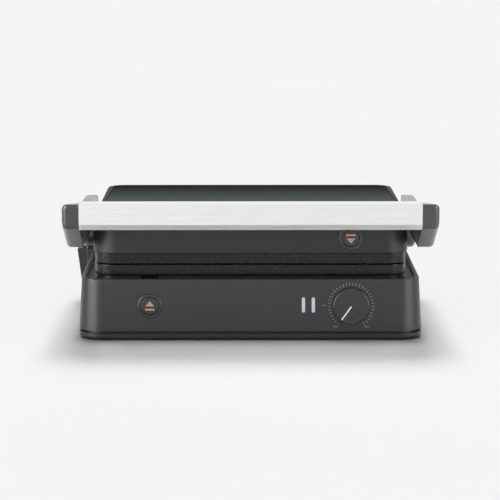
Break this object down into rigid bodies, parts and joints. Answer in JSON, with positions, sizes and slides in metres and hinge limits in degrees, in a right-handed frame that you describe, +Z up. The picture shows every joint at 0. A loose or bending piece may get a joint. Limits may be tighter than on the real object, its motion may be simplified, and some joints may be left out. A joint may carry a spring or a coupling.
{
  "type": "panini press",
  "caption": "Electric contact grill: a ribbed lower plate on a base and a ribbed upper plate in a lid hung between two arms joined by a handle bar.",
  "frame": {"origin": "on the table under the middle of the object's box, at the bottom of the feet", "axes": "+Z up, the front with the dial and the handle bar faces -Y, +X to the right seen from the front"},
  "size_m": [0.3768, 0.31, 0.143],
  "materials": {
    "casing_plastic": "satin moulded, charcoal",
    "panel_plastic": "satin moulded, charcoal",
    "control_plastic": "satin moulded, charcoal",
    "arm_metal": "fine satin gunmetal",
    "handle_metal": "satin silver",
    "plate_coating": "non-stick coated",
    "bright_sheet": "mill finish",
    "steel": "plain",
    "rubber": "matte",
    "light_lens": "frosted",
    "copper_mark": "satin copper",
    "pointer_white": "printed",
    "inner_plastic": "plain",
    "board": "lacquered",
    "bushing": "natural nylon"
  },
  "bodies": {
    "base": {"base_shell": "casing_plastic", "base_floor": "casing_plastic", "rubber_feet": "rubber", "base_screws": "steel", "lower_grill_plate": "plate_coating", "lower_reflector": "bright_sheet", "lower_heating_element": "steel", "thermostat_body": "inner_plastic", "control_board": "board", "indicator_light_left": "light_lens", "indicator_light_right": "light_lens", "lower_button_ring": "control_plastic", "lower_spring_guide": "inner_plastic", "lower_button_spring": "steel", "tray_rails": "inner_plastic", "power_inlet": "casing_plastic", "post_guide_left": "inner_plastic", "post_guide_right": "inner_plastic", "release_housing": "casing_plastic", "release_spring": "steel"},
    "hinge_carriage": {"hinge_post_left": "steel", "hinge_post_right": "steel", "hinge_crossbar": "steel", "hinge_pin_left": "steel", "hinge_pin_right": "steel"},
    "arms": {"arm_left": "arm_metal", "arm_right": "arm_metal", "hinge_barrel_left": "arm_metal", "hinge_barrel_right": "arm_metal", "hinge_cap_left": "arm_metal", "hinge_cap_right": "arm_metal", "lid_pivot_left": "steel", "lid_pivot_right": "steel", "handle_bar": "handle_metal", "handle_core": "inner_plastic"},
    "lid": {"lid_lower_shell": "casing_plastic", "lid_cover": "casing_plastic", "lid_top_panel": "panel_plastic", "pivot_bushing_left": "bushing", "pivot_bushing_right": "bushing", "lid_screws": "steel", "upper_grill_plate": "plate_coating", "upper_reflector": "bright_sheet", "upper_heating_element": "steel", "upper_button_ring": "control_plastic", "upper_spring_guide": "inner_plastic", "upper_button_spring": "steel"},
    "knob": {"control_knob": "control_plastic", "knob_pointer": "pointer_white", "knob_shaft": "steel"},
    "lower_button": {"lower_release_button": "control_plastic", "lower_button_mark": "copper_mark", "lower_release_latch": "steel"},
    "upper_button": {"upper_release_button": "control_plastic", "upper_button_mark": "copper_mark", "upper_release_latch": "steel"},
    "drip_tray": {"drip_tray": "inner_plastic"},
    "release_lever": {"release_lever": "casing_plastic"}
  },
  "joints": [
    {"name": "hinge_float", "type": "slide", "parent": "base", "child": "hinge_carriage", "axis": [0, 0, 1], "range_m": [0, 0.012]},
    {"name": "lid_open", "type": "hinge", "parent": "hinge_carriage", "child": "arms", "pos_m": [0, 0.1385, 0.0728], "axis": [-1, 0, 0], "range_deg": [0, 180]},
    {"name": "lid_tilt", "type": "hinge", "parent": "arms", "child": "lid", "pos_m": [0, 0, 0.102], "axis": [1, 0, 0], "range_deg": [0, 5]},
    {"name": "knob_turn", "type": "hinge", "parent": "base", "child": "knob", "pos_m": [0.101, -0.1166, 0.035], "axis": [0, 0.9982, -0.0593], "range_deg": [0, 288]},
    {"name": "lower_button_press", "type": "slide", "parent": "base", "child": "lower_button", "axis": [0, 0.9982, -0.0593], "range_m": [0, 0.004], "stiffness_N_per_m": 400, "springref_m": -0.004, "deforming": ["lower_button_spring"]},
    {"name": "upper_button_press", "type": "slide", "parent": "lid", "child": "upper_button", "axis": [0, 1, 0], "range_m": [0, 0.004], "stiffness_N_per_m": 400, "springref_m": -0.004, "deforming": ["upper_button_spring"]},
    {"name": "drip_tray_slide", "type": "slide", "parent": "base", "child": "drip_tray", "axis": [1, 0, 0], "range_m": [0, 0.2]},
    {"name": "release_slide", "type": "slide", "parent": "base", "child": "release_lever", "axis": [0, -1, 0], "range_m": [0, 0.003], "stiffness_N_per_m": 300, "springref_m": -0.003, "deforming": ["release_spring"]}
  ],
  "couplings": [
    {"joint": "lid_tilt", "follows": "hinge_float", "rad_per_m": 7.2}
  ]
}
